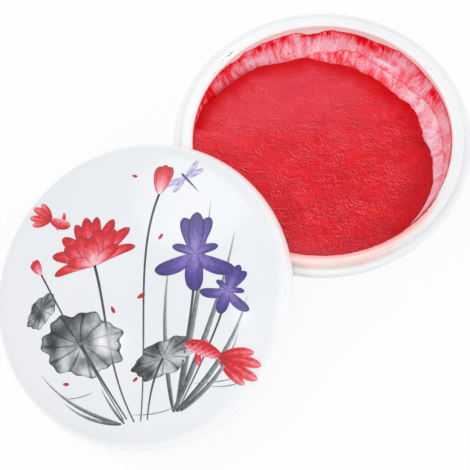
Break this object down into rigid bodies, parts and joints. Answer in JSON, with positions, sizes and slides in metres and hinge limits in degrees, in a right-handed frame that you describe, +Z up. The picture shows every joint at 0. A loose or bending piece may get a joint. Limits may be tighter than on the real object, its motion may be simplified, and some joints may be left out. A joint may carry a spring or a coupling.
{
  "type": "seal paste box",
  "caption": "Round glazed porcelain box that holds red seal paste in a shallow dish, shown open with its printed domed lid leaning on the rim",
  "frame": {"origin": "the middle of the bowl's foot ring, on the table", "axes": "+Z is up along the bowl's axis; +X is to the right and +Y away from someone in front; the lid leans towards -X and -Y"},
  "size_m": [0.1488, 0.1302, 0.0339],
  "materials": {
    "bowl_porcelain": "gloss",
    "red_seal_paste": "satin",
    "lid_porcelain": "gloss"
  },
  "bodies": {
    "bowl": {"bowl": "bowl_porcelain", "seal_paste": "red_seal_paste"},
    "lid": {"lid": "lid_porcelain"}
  },
  "joints": [
    {"name": "lid_lift", "type": "slide", "parent": "bowl", "child": "lid", "axis": [0, 0, 1], "range_m": [0, 0.06]}
  ]
}
